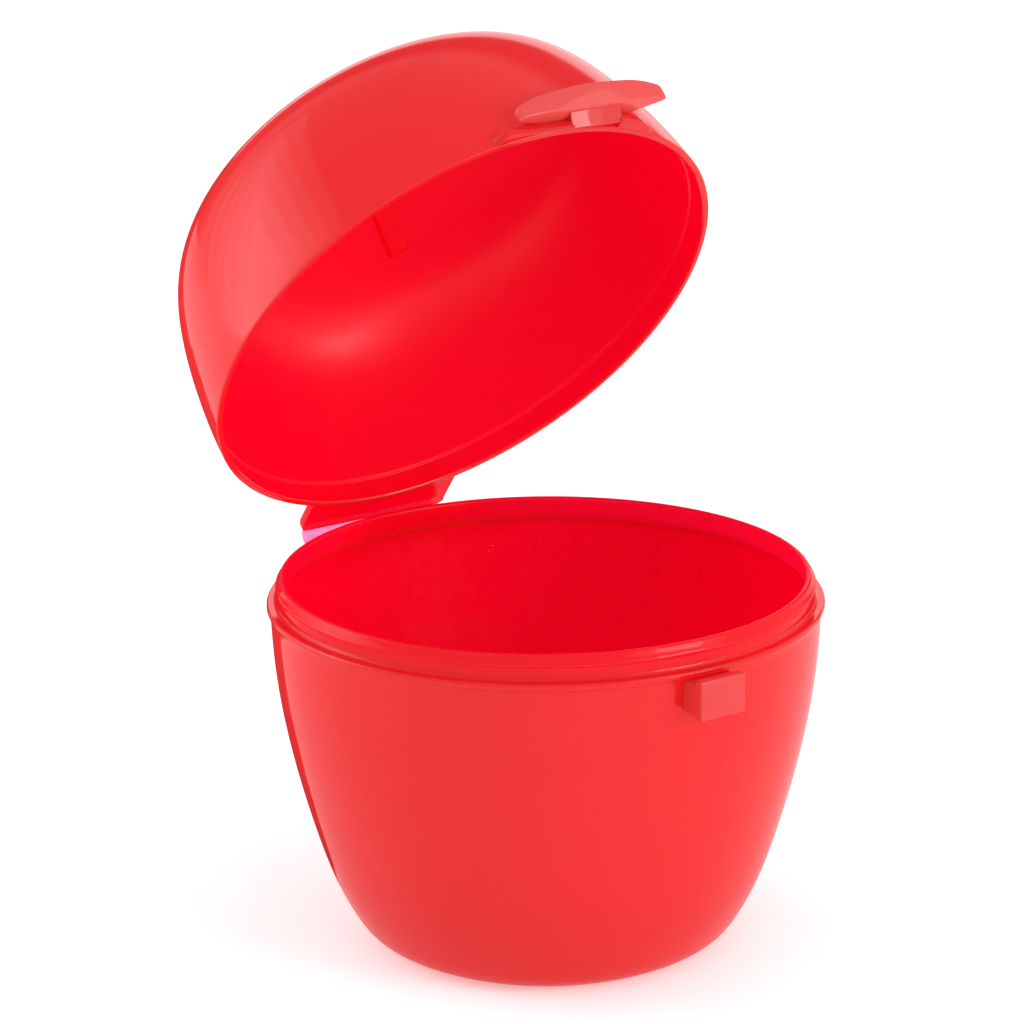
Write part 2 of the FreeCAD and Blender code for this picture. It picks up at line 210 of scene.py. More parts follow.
def bevelled(ob, width, segments=3, angle=30):
    md = ob.modifiers.new("bevel", "BEVEL")
    md.width = width * MM
    md.segments = segments
    md.limit_method = "ANGLE"
    md.angle_limit = math.radians(angle)
    md.harden_normals = False
    apply_all(ob)
    return ob


def apply_all(ob):
    bpy.context.view_layer.update()
    dg = bpy.context.evaluated_depsgraph_get()
    me = bpy.data.meshes.new_from_object(ob.evaluated_get(dg), depsgraph=dg)
    old = ob.data
    ob.modifiers.clear()
    ob.data = me
    bpy.data.meshes.remove(old)
    for p in ob.data.polygons:
        p.use_smooth = True
    return ob


def prism(name, outline, axis, lo, hi):
    """Prism of an outline in mm. axis 'X': outline is (y, z); axis 'Z': outline is (x, y)."""
    bm = bmesh.new()

    def put(p, t):
        return (t * MM, p[0] * MM, p[1] * MM) if axis == "X" else (p[0] * MM, p[1] * MM, t * MM)

    a = [bm.verts.new(put(p, lo)) for p in outline]
    b = [bm.verts.new(put(p, hi)) for p in outline]
    bm.faces.new(a)
    bm.faces.new(list(reversed(b)))
    n = len(outline)
    for i in range(n):
        j = (i + 1) % n
        bm.faces.new((a[j], a[i], b[i], b[j]))
    bmesh.ops.recalc_face_normals(bm, faces=bm.faces)
    return new_object(name, bm)


def boolean(ob, other, op="DIFFERENCE"):
    md = ob.modifiers.new("bool", "BOOLEAN")
    md.operation = op
    md.solver = "EXACT"
    md.object = other
    apply_all(ob)
    me = other.data
    bpy.data.objects.remove(other)
    if me.users == 0:
        bpy.data.meshes.remove(me)
    return ob


def weighted(ob, angle=40):
    """Shade smooth by angle, so that broad faces stay flat and bevels carry the turn."""
    bm = bmesh.new()
    bm.from_mesh(ob.data)
    bmesh.ops.remove_doubles(bm, verts=bm.verts, dist=2e-6)
    lim = math.radians(angle)
    for e in bm.edges:
        e.smooth = not (len(e.link_faces) == 2 and e.calc_face_angle(0) > lim)
    bm.to_mesh(ob.data)
    bm.free()
    return ob


# ---------------------------------------------------------------- materials
def node_tree(name):
    mat = bpy.data.materials.new(name)
    mat.use_nodes = True
    nt = mat.node_tree
    nt.nodes.clear()
    out = nt.nodes.new("ShaderNodeOutputMaterial")
    out.location = (900, 0)
    return mat, nt, out


def polypropylene(name, base, base2, through, share, rough=0.06, neck=None):
    """Thin glossy translucent polypropylene with faint flow marks and handling wear.
    neck: (height in m, colour) above which a thinner wall lets more light through."""
    mat, nt, out = node_tree(name)
    N, L = nt.nodes, nt.links
    co = N.new("ShaderNodeTexCoord")
    flow = N.new("ShaderNodeTexNoise")
    flow.inputs["Scale"].default_value = 22.0
    flow.inputs["Detail"].default_value = 3.0
    flow.inputs["Roughness"].default_value = 0.45
    L.new(co.outputs["Object"], flow.inputs["Vector"])
    tone = N.new("ShaderNodeValToRGB")
    tone.color_ramp.elements[0].position = 0.30
    tone.color_ramp.elements[0].color = (*base2, 1)
    tone.color_ramp.elements[1].position = 0.72
    tone.color_ramp.elements[1].color = (*base, 1)
    L.new(flow.outputs["Fac"], tone.inputs["Fac"])
    # fine handling marks in the gloss
    fine = N.new("ShaderNodeTexNoise")
    fine.inputs["Scale"].default_value = 300.0
    fine.inputs["Detail"].default_value = 4.0
    L.new(co.outputs["Object"], fine.inputs["Vector"])
    rr = N.new("ShaderNodeMapRange")
    rr.inputs["From Min"].default_value = 0.40
    rr.inputs["From Max"].default_value = 0.80
    rr.inputs["To Min"].default_value = rough
    rr.inputs["To Max"].default_value = rough + 0.08
    L.new(fine.outputs["Fac"], rr.inputs["Value"])
    # very slight waviness of a thin moulding
    wave = N.new("ShaderNodeTexNoise")
    wave.inputs["Scale"].default_value = 26.0
    wave.inputs["Detail"].default_value = 1.0
    L.new(co.outputs["Object"], wave.inputs["Vector"])
    bump = N.new("ShaderNodeBump")
    bump.inputs["Strength"].default_value = 0.06
    bump.inputs["Distance"].default_value = 0.0012
    L.new(wave.outputs["Fac"], bump.inputs["Height"])
    pr = N.new("ShaderNodeBsdfPrincipled")
    pr.inputs["IOR"].default_value = 1.50
    L.new(tone.outputs["Color"], pr.inputs["Base Color"])
    L.new(rr.outputs["Result"], pr.inputs["Roughness"])
    L.new(bump.outputs["Normal"], pr.inputs["Normal"])
    tr = N.new("ShaderNodeBsdfTranslucent")
    mix = N.new("ShaderNodeMixShader")
    if neck is None:
        tr.inputs["Color"].default_value = (*through, 1)
        mix.inputs["Fac"].default_value = share
    else:
        sep = N.new("ShaderNodeSeparateXYZ")
        L.new(co.outputs["Object"], sep.inputs["Vector"])
        above = N.new("ShaderNodeMapRange")
        above.inputs["From Min"].default_value = neck[0] - 0.0004
        above.inputs["From Max"].default_value = neck[0] + 0.0004
        L.new(sep.outputs["Z"], above.inputs["Value"])
        tint = N.new("ShaderNodeMix")
        tint.data_type = "RGBA"
        tint.inputs["A"].default_value = (*through, 1)
        tint.inputs["B"].default_value = (*neck[1], 1)
        L.new(above.outputs["Result"], tint.inputs["Factor"])
        L.new(tint.outputs["Result"], tr.inputs["Color"])
        mr_ = N.new("ShaderNodeMapRange")
        mr_.inputs["To Min"].default_value = share
        mr_.inputs["To Max"].default_value = min(share + 0.2, 0.9)
        L.new(above.outputs["Result"], mr_.inputs["Value"])
        L.new(mr_.outputs["Result"], mix.inputs["Fac"])
    L.new(pr.outputs["BSDF"], mix.inputs[1])
    L.new(tr.outputs["BSDF"], mix.inputs[2])
    L.new(mix.outputs["Shader"], out.inputs["Surface"])
    return mat


def elastomer(name, base, base2, rough, sheen=0.0, coat=0.0, sss=0.0):
    mat, nt, out = node_tree(name)
    N, L = nt.nodes, nt.links
    co = N.new("ShaderNodeTexCoord")
    cloud = N.new("ShaderNodeTexNoise")
    cloud.inputs["Scale"].default_value = 70.0
    cloud.inputs["Detail"].default_value = 3.0
    L.new(co.outputs["Object"], cloud.inputs["Vector"])
    tone = N.new("ShaderNodeValToRGB")
    tone.color_ramp.elements[0].position = 0.3
    tone.color_ramp.elements[0].color = (*base2, 1)
    tone.color_ramp.elements[1].position = 0.7
    tone.color_ramp.elements[1].color = (*base, 1)
    L.new(cloud.outputs["Fac"], tone.inputs["Fac"])
    grain = N.new("ShaderNodeTexNoise")
    grain.inputs["Scale"].default_value = 1500.0
    grain.inputs["Detail"].default_value = 3.0
    L.new(co.outputs["Object"], grain.inputs["Vector"])
    bump = N.new("ShaderNodeBump")
    bump.inputs["Strength"].default_value = 0.18
    bump.inputs["Distance"].default_value = 0.00008
    L.new(grain.outputs["Fac"], bump.inputs["Height"])
    rr = N.new("ShaderNodeMapRange")
    rr.inputs["To Min"].default_value = rough - 0.05
    rr.inputs["To Max"].default_value = rough + 0.08
    L.new(cloud.outputs["Fac"], rr.inputs["Value"])
    pr = N.new("ShaderNodeBsdfPrincipled")
    pr.inputs["IOR"].default_value = 1.48
    pr.inputs["Subsurface Weight"].default_value = sss
    pr.inputs["Subsurface Radius"].default_value = (0.004, 0.003, 0.003)
    pr.inputs["Subsurface Scale"].default_value = 1.0
    L.new(tone.outputs["Color"], pr.inputs["Base Color"])
    L.new(rr.outputs["Result"], pr.inputs["Roughness"])
    L.new(bump.outputs["Normal"], pr.inputs["Normal"])
    L.new(pr.outputs["BSDF"], out.inputs["Surface"])
    return mat


BASE, BASE2 = (0.75, 0.027, 0.026), (0.70, 0.022, 0.022)
THROUGH = (1.0, 0.002, 0.16)
OUTWARD = (1.0, 0.004, 0.13)
NECK = (0.0571, (1.0, 0.06, 0.20))
RED = polypropylene("red_polypropylene", BASE, BASE2, OUTWARD, 0.50)
# tab: the same red plastic with a lighter, pinker base, a painted sheen of the pale light its face reflects
MILKY_PAINTED_SHEEN = polypropylene("red_polypropylene_tab_painted_sheen", (0.78, 0.105, 0.095), (0.74, 0.092, 0.084), (0.98, 0.03, 0.06), 0.36)
# catch and lug: the same red with a lighter base, a painted sheen of the pale light their faces reflect
BLOCK_PAINTED_SHEEN = polypropylene("red_polypropylene_block_painted_sheen", (0.78, 0.075, 0.07), (0.74, 0.066, 0.062), (0.98, 0.02, 0.06), 0.42)
# inside of the lid: a brighter, more crimson copy of the red plastic, a painted glow of the light that comes in
# through the thin wall
RED_IN_PAINTED_GLOW = polypropylene("red_polypropylene_inside_painted_glow", (0.98, 0.001, 0.034), (0.94, 0.001, 0.028), THROUGH, 0.58, rough=0.34)
RED_CUP = polypropylene("red_polypropylene_cup", BASE, BASE2, OUTWARD, 0.50, neck=NECK)
# inside of the cup: the same painted glow, a brighter crimson for the light coming in through the wall
RED_CUP_IN_PAINTED_GLOW = polypropylene("red_polypropylene_cup_inside_painted_glow", (0.98, 0.001, 0.034), (0.94, 0.001, 0.028), THROUGH, 0.58, rough=0.26, neck=NECK)
LEAF = polypropylene("red_polypropylene_hinge", (0.97, 0.002, 0.022), (0.93, 0.002, 0.018), THROUGH, 0.60, rough=0.12)
FILM = polypropylene("hinge_film", (0.92, 0.40, 0.66), (0.88, 0.32, 0.58), (1.0, 0.60, 0.86), 0.85, rough=0.22)
GUARD = elastomer("guard_outer_elastomer", (0.78, 0.82, 0.86), (0.70, 0.75, 0.80), 0.30, sss=0.25)
LINER = elastomer("guard_inner_elastomer", (0.88, 0.88, 0.85), (0.80, 0.80, 0.77), 0.48, sss=0.25)

# ----------------------------------------------------------------- cup shell
q, g = cubic(CUP_PTS, 64)
inner = offset(q, g, WALL)
inner = [tuple(p) for p in inner if p[1] > FLOOR + 0.35]
foot = rounded([(0.0, 0.0), (19.6, 0.0), (19.9, 0.28), (21.0, 0.28), (21.3, 0.0), (25.95, 0.0), (FOOT_R, 0.2), (FOOT_R + 0.12, FOOT_H - 0.1),
                (26.55, FOOT_H), (27.05, 0.56)], [0, .15, .12, .12, .15, .2, .15, .12, .15, 0], 4)
flange = rounded([tuple(q[-1]), (44.1, 55.35), (44.46, 55.58), (44.55, 55.8), (44.55, 56.3), (44.38, 56.6), (42.9, 56.6),
                  (42.9, 58.66), (43.08, 58.86), (43.14, 59.1), (43.04, 59.36), (42.5, 60.11)],
                 [0, .1, .12, .15, .18, .16, .65, .2, .16, .2, .18, 0], 7)
lip = [(41.98 + 0.52 * math.cos(a), 60.11 + 0.52 * math.sin(a)) for a in np.linspace(0, math.pi, 15)]
throat = rounded([(41.46, 60.11), (41.46, 57.75), (42.86, 55.85), (42.86, 55.0)], [0, .3, .5, 0], 6)
bottom = rounded([inner[0], (27.0, FLOOR + 0.14), (25.0, FLOOR), (0.0, FLOOR)], [0, 1.2, 1.5, 0], 6)
prof = foot[:-1] + [tuple(p) for p in q] + flange[1:-1] + lip + throat[1:-1]
prof += [p for p in reversed(inner) if p[1] < 54.9] + bottom[1:]
cup = lathe("cup_shell_skin", prof)
weighted(cup, 38)

# small round moulding marks on the inside of the wall, as rings a little proud of it
R_IN = [(p[1], p[0]) for p in inner]
R_IN.sort()


def r_inner(z):
    return float(np.interp(z, [a for a, _ in R_IN], [b for _, b in R_IN]))


def wall_ring(az_deg, z, r=0.62, tube=0.085):
    a = math.radians(az_deg)
    rr = r_inner(z)
    c = Vector((rr * math.cos(a), rr * math.sin(a), z))
    slope = (r_inner(z + 1) - r_inner(z - 1)) / 2
    n = Vector((-math.cos(a), -math.sin(a), slope)).normalized()
    t = Vector((-math.sin(a), math.cos(a), 0))
    b = n.cross(t)
    bm = bmesh.new()
    rows = []
    for i in range(28):
        w = 2 * math.pi * i / 28
        d = t * math.cos(w) + b * math.sin(w)
        rows.append([bm.verts.new((c + d * (r + tube * math.cos(v)) + n * (tube * math.sin(v) - 0.02)) * MM)
                     for v in [2 * math.pi * k / 8 for k in range(8)]])
    for i in range(28):
        for k in range(8):
            bm.faces.new((rows[i][k], rows[(i + 1) % 28][k], rows[(i + 1) % 28][(k + 1) % 8], rows[i][(k + 1) % 8]))
    bmesh.ops.recalc_face_normals(bm, faces=bm.faces)
    return new_object("ring", bm)


def join(objs, name):
    bm = bmesh.new()
    for o in objs:
        bm.from_mesh(o.data)
    for o in objs:
        me = o.data
        bpy.data.objects.remove(o)
        bpy.data.meshes.remove(me)
    ob = new_object(name, bm)
    return ob


MARKS = [(66.4, 51.5), (54.8, 52.5), (46.0, 52.95), (48.3, 48.7), (36.4, 50.75), (26.7, 52.75), (27.5, 48.5), (15.6, 48.8)]
cup = join([cup] + [wall_ring(a, z) for a, z in MARKS], "cup_shell_skin")
weighted(cup, 38)

# ----------------------------------------------------------------- lid shell
lq, lg = cubic(LID_PTS, 120, (-0.05, 1.0), (-1.0, 0.0))
lin = offset(lq, lg, LID_WALL)
lin = [tuple(p) for p in lin if p[1] > 4.6]
lin[-1] = (0.0, lin[-1][1])
lq = offset(lq, lg, 0.02)
lq[-1][0] = 0.0
rim = rounded([lin[0], (43.22, 4.2), (43.62, 3.9), (43.62, 0.3), (43.87, 0.0), (44.58, 0.0), (44.76, 0.18), tuple(lq[3])],
              [0, .3, .25, .15, .12, .12, .2, 0], 6)
prof = [tuple(p) for p in reversed(lin)] + rim[1:-1] + [tuple(p) for p in lq[3:]]
prof = [(r, z + LID_Z) for r, z in prof]
prof[-1] = (0.0, prof[-1][1])
lid = lathe("lid_shell_skin", prof)
weighted(lid, 38)
open_lid(lid)

# ------------------------------------------------------------- cup catch
CX0, CX1 = -6.35, 2.05
catch = prism("cup_catch_skin", [(-47.8, 56.0), (-46.2, 56.0), (-46.2, 55.2), (-43.2, 55.2), (-43.0, 50.4), (-46.2, 50.4), (-46.2, 49.8), (-47.8, 49.8)],
              "X", CX0, CX1)
bevelled(catch, 0.22, 3)
weighted(catch, 50)

# ------------------------------------------------------------ hinge leaves


LEAF_X0, LEAF_X1, LEAF_END, LEAF_R = -14.0, 14.8, 49.15, 0.85


def leaf(name, x0, x1, wall_r, z0, z1, round_top, r=1.0):
    """Flat leaf grown out of a round wall; corners rounded in plan, outer end edge rounded."""
    cols = 30
    far, near = (z1, z0) if round_top else (z0, z1)
    d = -1 if round_top else 1
    end = [(LEAF_END, near - d * -0.0)]
    sec = []
    for k in range(9):
        a = math.pi / 2 * k / 8
        sec.append((LEAF_R * (1 - math.sin(a)), d * LEAF_R * (1 - math.cos(a))))
    sec = sec[::-1]
    xs = []
    for k in range(9):
        a = math.pi / 2 * k / 8
        xs.append((x0 + r * (1 - math.cos(a)), r * (1 - math.sin(a))))
    xs += [(x0 + r + (x1 - x0 - 2 * r) * k / cols, 0.0) for k in range(1, cols)]
    xs += [(x0 + x1 - x, inset) for x, inset in xs[:9][::-1]]
    bm = bmesh.new()
    rows = []
    for x, inset in xs:
        tip = LEAF_END - inset
        y_in = math.sqrt(wall_r**2 - x * x)
        ring = [(y_in, near), (tip - 0.12, near), (tip, near - d * -0.12)]
        ring += [(tip - e, far + h) for e, h in sec]
        ring += [(y_in, far)]
        rows.append([bm.verts.new((x * MM, y * MM, z * MM)) for y, z in ring])
    n = len(rows[0])
    for p, q in zip(rows[:-1], rows[1:]):
        for i in range(n):
            j = (i + 1) % n
            bm.faces.new((p[i], p[j], q[j], q[i]))
    bm.faces.new(rows[0])
    bm.faces.new(list(reversed(rows[-1])))
    bmesh.ops.recalc_face_normals(bm, faces=bm.faces)
    ob = new_object(name, bm)
    bevelled(ob, 0.1, 2, 50)
    return weighted(ob, 35)


cup_leaf = leaf("cup_hinge_leaf_skin", LEAF_X0 - 0.6, LEAF_X1 + 0.4, 43.55, 54.5, 55.55, False)
lid_leaf = leaf("lid_hinge_leaf_skin", LEAF_X0, LEAF_X1, 44.1, 56.95, 58.3, True)
open_lid(lid_leaf)

# ------------------------------------------------------------- hinge film
c, s = math.cos(OPEN), math.sin(OPEN)


def opened(y, z):
    dy, dz = y - HINGE_Y, z - HINGE_Z
    return (HINGE_Y + dy * c + dz * s, HINGE_Z - dy * s + dz * c)


def film():
    p0 = np.array([LEAF_END, 55.2])
    d0 = np.array([1.0, 0.0])
    p1 = np.array(opened(LEAF_END + 0.04, 57.2))
    d1 = np.array([-c, s])
    path = []
    n = 28
    k = 4.6
    for i in range(n + 1):
        t = i / n
        h = [2 * t**3 - 3 * t**2 + 1, t**3 - 2 * t**2 + t, -2 * t**3 + 3 * t**2, t**3 - t**2]
        path.append(h[0] * p0 + h[1] * d0 * k + h[2] * p1 + h[3] * d1 * k)
    path = [p0 - 0.3 * d0] + path + [p1 + 0.3 * d1]
    n += 2
    path = np.array(path)
    tan = np.gradient(path, axis=0)
    tan /= np.linalg.norm(tan, axis=1)[:, None]
    nor = np.stack([-tan[:, 1], tan[:, 0]], 1)
    bm = bmesh.new()
    m_ = 40
    grid = {}
    for i in range(n + 1):
        t = i / n
        half = 0.19 + 0.02 * (abs(2 * t - 1)) ** 3
        waist = 0.1 + 0.2 * math.sin(math.pi * t)
        for j in range(m_ + 1):
            x = (LEAF_X0 + 0.4 + waist) + (LEAF_X1 - LEAF_X0 - 0.8 - 2 * waist) * j / m_
            edge = min(j, m_ - j) / 1.0
            hh = half * (0.55 if edge < 0.5 else 1.0)
            for side in (-1, 1):
                p = path[i] + nor[i] * hh * side
                grid[(i, j, side)] = bm.verts.new((x * MM, p[0] * MM, p[1] * MM))
    for i in range(n):
        for j in range(m_):
            for side in (-1, 1):
                f = [grid[(i, j, side)], grid[(i, j + 1, side)], grid[(i + 1, j + 1, side)], grid[(i + 1, j, side)]]
                bm.faces.new(f if side == 1 else f[::-1])
        for j in (0, m_):
            bm.faces.new((grid[(i, j, -1)], grid[(i + 1, j, -1)], grid[(i + 1, j, 1)], grid[(i, j, 1)]))
    for i in (0, n):
        for j in range(m_):
            bm.faces.new((grid[(i, j, -1)], grid[(i, j + 1, -1)], grid[(i, j + 1, 1)], grid[(i, j, 1)]))
    bmesh.ops.recalc_face_normals(bm, faces=bm.faces)
    return new_object("hinge_web_skin", bm)


web = film()
weighted(web, 60)

# ---------------------------------------------------------------- thumb tab


TAB_X = [-8.2, -5.0, 0.0, 6.3, 12.0, 17.0, 19.9]
TAB_FOOT_Y = [-46.5, -46.85, -47.1, -47.2, -47.15, -47.05, -46.95]
TAB_TOP_Y = [-47.1, -47.6, -48.45, -49.05, -48.85, -48.0, -47.4]
TAB_TOP_H = [4.1, 5.0, 5.35, 5.5, 5.35, 5.05, 4.25]
TAB_BACK_X = [-8.2, -7.4, 0.5, 1.2, 11.4, 12.1, 19.2, 19.9]
TAB_BACK_Y = [-45.5, -45.3, -43.5, -43.3, -43.3, -43.5, -45.7, -45.9]
TAB_H0, TAB_T = 2.2, 1.3
LUG_X0, LUG_X1 = 1.3, 10.9


def smooth_interp(xs, ys, x):
    q_, _ = cubic(list(zip(xs, ys)), 200)
    return float(np.interp(x, q_[:, 0], q_[:, 1]))


def thumb_tab():
    """Crescent shelf with a turned-up front that leans outwards, free at both tips."""
    n = 64
    bm = bmesh.new()
    rows = []
    for k in range(n + 1):
        u = k / n
        x = TAB_X[0] + 0.04 + (TAB_X[-1] - TAB_X[0] - 0.08) * u
        e = min(x - TAB_X[0], TAB_X[-1] - x)
        nose = max(0.0, 1 - e / 1.1)
        nose = 1 - math.sqrt(max(0.0, 1 - nose * nose))
        yf = smooth_interp(TAB_X, TAB_FOOT_Y, x) + 0.5 * nose
        yt = smooth_interp(TAB_X, TAB_TOP_Y, x) + 0.75 * nose
        h = smooth_interp(TAB_X, TAB_TOP_H, x) - 0.35 * nose
        yb = float(np.interp(x, TAB_BACK_X, TAB_BACK_Y)) - 0.25 * nose
        yb = max(yb, yf + 0.55)
        r_wall = -math.sqrt(44.1**2 - x * x)
        if 1.2 <= x <= 11.4:
            yb = r_wall
        elif 0.0 < x < 1.2:
            yb = lerp(yb, r_wall, x / 1.2)
        elif 11.4 < x < 12.6:
            yb = lerp(yb, r_wall, (12.6 - x) / 1.2)
        lean = max(yt + 1.15, yf - 0.4)
        knee_y, knee_h = min(yf + 1.5, yb - 0.15), TAB_H0 + TAB_T
        pts = [(yb, TAB_H0), (yf + 0.03, TAB_H0), (yt, h), (lean, h + 0.02), (knee_y, knee_h), (yb, knee_h)]
        sec = rounded([((yb + knee_y) / 2, knee_h)] + [pts[5]] + pts[:5] + [((yb + knee_y) / 2, knee_h)],
                      [0, 0.12, 0.12, 0.22, 0.42, 0.42, 0.5, 0], 4)[:-1]
        rows.append([bm.verts.new((x * MM, py * MM, (LID_Z + pz) * MM)) for py, pz in sec])
    m_ = min(len(r_) for r_ in rows)
    assert all(len(r_) == m_ for r_ in rows)
    for a, b in zip(rows[:-1], rows[1:]):
        for i in range(m_):
            j = (i + 1) % m_
            bm.faces.new((a[i], a[j], b[j], b[i]))
    bm.faces.new(rows[0])
    bm.faces.new(list(reversed(rows[-1])))
    bmesh.ops.recalc_face_normals(bm, faces=bm.faces)
    return new_object("lid_tab_skin", bm)


def lerp(a, b, w):
    return a + (b - a) * w


tab = thumb_tab()
bevelled(tab, 0.12, 2, 60)
weighted(tab, 40)
open_lid(tab)

lug = prism("lid_tab_lug_skin", [(-43.85, LID_Z + 0.9), (-43.6, LID_Z + 0.68), (-44.72, LID_Z + 0.14), (-44.84, LID_Z + 0.37), (-46.35, LID_Z + 2.15), (-46.35, LID_Z + 2.45), (-43.85, LID_Z + 2.45)],
            "X", LUG_X0 + 0.02, LUG_X1 - 0.02)
bevelled(lug, 0.1, 2)
weighted(lug, 40)
open_lid(lug)


def apron_block(pts, name):
    bm = bmesh.new()
    lo = [bm.verts.new((x * MM, y * MM, (LID_Z + 0.12) * MM)) for x, y in pts]
    hi = [bm.verts.new((x * MM, y * MM, (LID_Z + 1.63) * MM)) for x, y in pts]
    bm.faces.new(lo)
    bm.faces.new(hi[::-1])
    for i in range(len(pts)):
        j = (i + 1) % len(pts)
        bm.faces.new((lo[j], lo[i], hi[i], hi[j]))
    bmesh.ops.recalc_face_normals(bm, faces=bm.faces)
    ob = new_object(name, bm)
    return bevelled(ob, 0.14, 3, 35)


def wall_arc(x_from, x_to, r_=44.05, n=24):
    return [(x, -math.sqrt(r_ * r_ - x * x)) for x in np.linspace(x_from, x_to, n)]


left = [(-12.45, -42.95), (-10.98, -45.08), (LUG_X0 + 0.4, -45.08)] + wall_arc(LUG_X0 + 0.4, -12.3)
bend, _ = cubic([(12.0, -45.08), (14.8, -44.1), (17.4, -42.15), (19.1, -40.4)], 16)
right_ = [(LUG_X1 - 0.4, -45.08)] + [tuple(p) for p in bend] + wall_arc(18.6, LUG_X1 - 0.4)
apr = join([apron_block(left, "apron_l"), apron_block(right_, "apron_r")], "lid_apron_skin")
weighted(apr, 30)
open_lid(apr)

# ------------------------------------------------- raised strip in the dome


def strip():
    az, w, t0 = math.radians(57.0), 3.5, 0.9
    lo = np.array(lin)
    lo = lo[::-1]
    zs_r, zs = lo[:, 0], lo[:, 1]

    def z_at(r):
        return float(np.interp(r, zs_r, zs))

    bm = bmesh.new()
    n, m_ = 60, 14
    grid = {}
    for i in range(n + 1):
        r = 4.0 + 22.4 * i / n
        for j in range(m_ + 1):
            v = -w / 2 + w * j / m_
            rr = math.hypot(r, v)
            e = min(min(i, n - i) / 1.6, min(j, m_ - j) / 1.2, 1.0)
            rise = t0 * math.sin(e * math.pi / 2) ** 0.8 if e > 0 else -0.15
            z = z_at(rr)
            g_ = (z_at(rr + 0.5) - z_at(rr - 0.5))
            nn = Vector((g_, -1.0)).normalized()
            rad = rr + nn.x * rise
            zz = z + nn.y * rise
            ang = az + math.atan2(v, r)
            grid[(i, j)] = bm.verts.new((rad * math.cos(ang) * MM, rad * math.sin(ang) * MM, (LID_Z + zz) * MM))
    for i in range(n):
        for j in range(m_):
            bm.faces.new((grid[(i, j)], grid[(i + 1, j)], grid[(i + 1, j + 1)], grid[(i, j + 1)]))
    # close it with a back sheet inside the wall
    backs = {}
    for (i, j), v in grid.items():
        if i in (0, n) or j in (0, m_):
            backs[(i, j)] = v
    ring = [(i, 0) for i in range(n + 1)] + [(n, j) for j in range(1, m_ + 1)] + [(i, m_) for i in range(n - 1, -1, -1)] + [(0, j) for j in range(m_ - 1, 0, -1)]
    low = []
    for key in ring:
        co = grid[key].co
        low.append(bm.verts.new((co.x, co.y, co.z + 0.35 * MM)))
    for a in range(len(ring)):
        b = (a + 1) % len(ring)
        bm.faces.new((grid[ring[a]], grid[ring[b]], low[b], low[a]))
    bmesh.ops.triangle_fill(bm, use_beauty=True, use_dissolve=False,
                            edges=[e for e in bm.edges if len(e.link_faces) == 1])
    bmesh.ops.recalc_face_normals(bm, faces=bm.faces)
    return new_object("lid_rib_skin", bm)


rib = strip()
weighted(rib, 60)
open_lid(rib)

# -------------------------------------------------------------- mouthguard


def arch_pt(front, half, rear, t):
    """Point on the arch at t in 0..1, left rear to right rear, by rough length."""
    turn = front + half * 0.98
    leg = rear - turn
    arc_l = math.pi * half
    tot = 2 * leg + arc_l
    s_ = t * tot
    if s_ < leg:
        return (-half, rear - s_)
    if s_ > leg + arc_l:
        return (half, turn + (s_ - leg - arc_l))
    a = math.pi * (s_ - leg) / arc_l
    return (-half * math.cos(a), turn - (turn - front) * math.sin(a))


def guard_part(name, sections, n=120):
    """Sections: list of (depth, height) pairs round the cross-section, as functions of t.
    depth 0 is the outer arch, 1 the inner arch; returns a closed swept solid."""
    bm = bmesh.new()
    rows = []
    for k in range(n + 1):
        t = k / n
        row = []
        for (x, y, z) in sections(t):
            row.append(bm.verts.new((x * MM, y * MM, z * MM)))
        rows.append(row)
    m_ = len(rows[0])
    for a, b in zip(rows[:-1], rows[1:]):
        for i in range(m_):
            j = (i + 1) % m_
            bm.faces.new((a[i], a[j], b[j], b[i]))
    for r_ in (rows[0], rows[-1]):
        cc = Vector((0, 0, 0))
        for v in r_:
            cc += v.co
        vc = bm.verts.new(cc / len(r_))
        for i in range(m_):
            bm.faces.new((r_[i], r_[(i + 1) % m_], vc))
    bmesh.ops.recalc_face_normals(bm, faces=bm.faces)
    return new_object(name, bm)


GZ0, GH = 1.9, 20.0


def arch_frame(t, h):
    """Outer arch point and unit inward direction at height h (0..1)."""
    front, half, rear = lerp(-24.0, -28.6, h), lerp(22.6, 27.2, h), lerp(13.6, 16.4, h)
    e = 1e-3
    p = np.array(arch_pt(front, half, rear, t))
    a = np.array(arch_pt(front, half, rear, max(t - e, 0)))
    b = np.array(arch_pt(front, half, rear, min(t + e, 1)))
    d = (b - a) / np.linalg.norm(b - a)
    n_ = np.array([-d[1], d[0]])
    return p, n_


def notch(t):
    """Relief at the front for the lip's frenum, and lower flanges at the rear."""
    x = t - 0.5
    return 2.6 * math.exp(-(x / 0.022) ** 2) + 2.2 * (abs(2 * x) ** 4)


def shell_sec(t):
    rear = min(t, 1 - t)
    end = min(1.0, rear / 0.02)
    end = math.sin(end * math.pi / 2)
    top_o = GH - notch(t)
    top_i = 13.5 - 1.5 * (abs(2 * t - 1) ** 4)
    wdt = lerp(12.4, 10.0, math.exp(-((t - 0.5) / 0.16) ** 2))
    pts = [(0.0, 1.2), (0.0, top_o * 0.35), (0.0, top_o * 0.7), (0.25, top_o - 0.7), (1.0, top_o),
           (1.75, top_o - 0.5), (2.1, top_o - 1.8), (2.15, 9.0), (2.2, 4.0), (2.9, 2.6), (4.2, 2.2),
           (wdt - 4.0, 2.2), (wdt - 2.9, 2.6), (wdt - 2.2, 4.0), (wdt - 1.9, 8.0), (wdt - 1.75, top_i - 1.2), (wdt - 0.95, top_i),
           (wdt - 0.2, top_i - 0.9), (wdt, top_i * 0.6), (wdt, 1.4), (wdt - 0.5, 0.35), (wdt - 1.6, 0.0), (wdt / 2, 0.0), (1.7, 0.0), (0.5, 0.3)]
    out = []
    mid = wdt / 2
    for d, h in pts:
        d2 = mid + (d - mid) * lerp(0.86, 1.0, end)
        h2 = lerp(3.0, h, lerp(0.8, 1.0, end))
        p, n_ = arch_frame(t, max(h2, 0) / GH)
        q_ = p + n_ * d2
        out.append((q_[0], q_[1], GZ0 + h2))
    return out


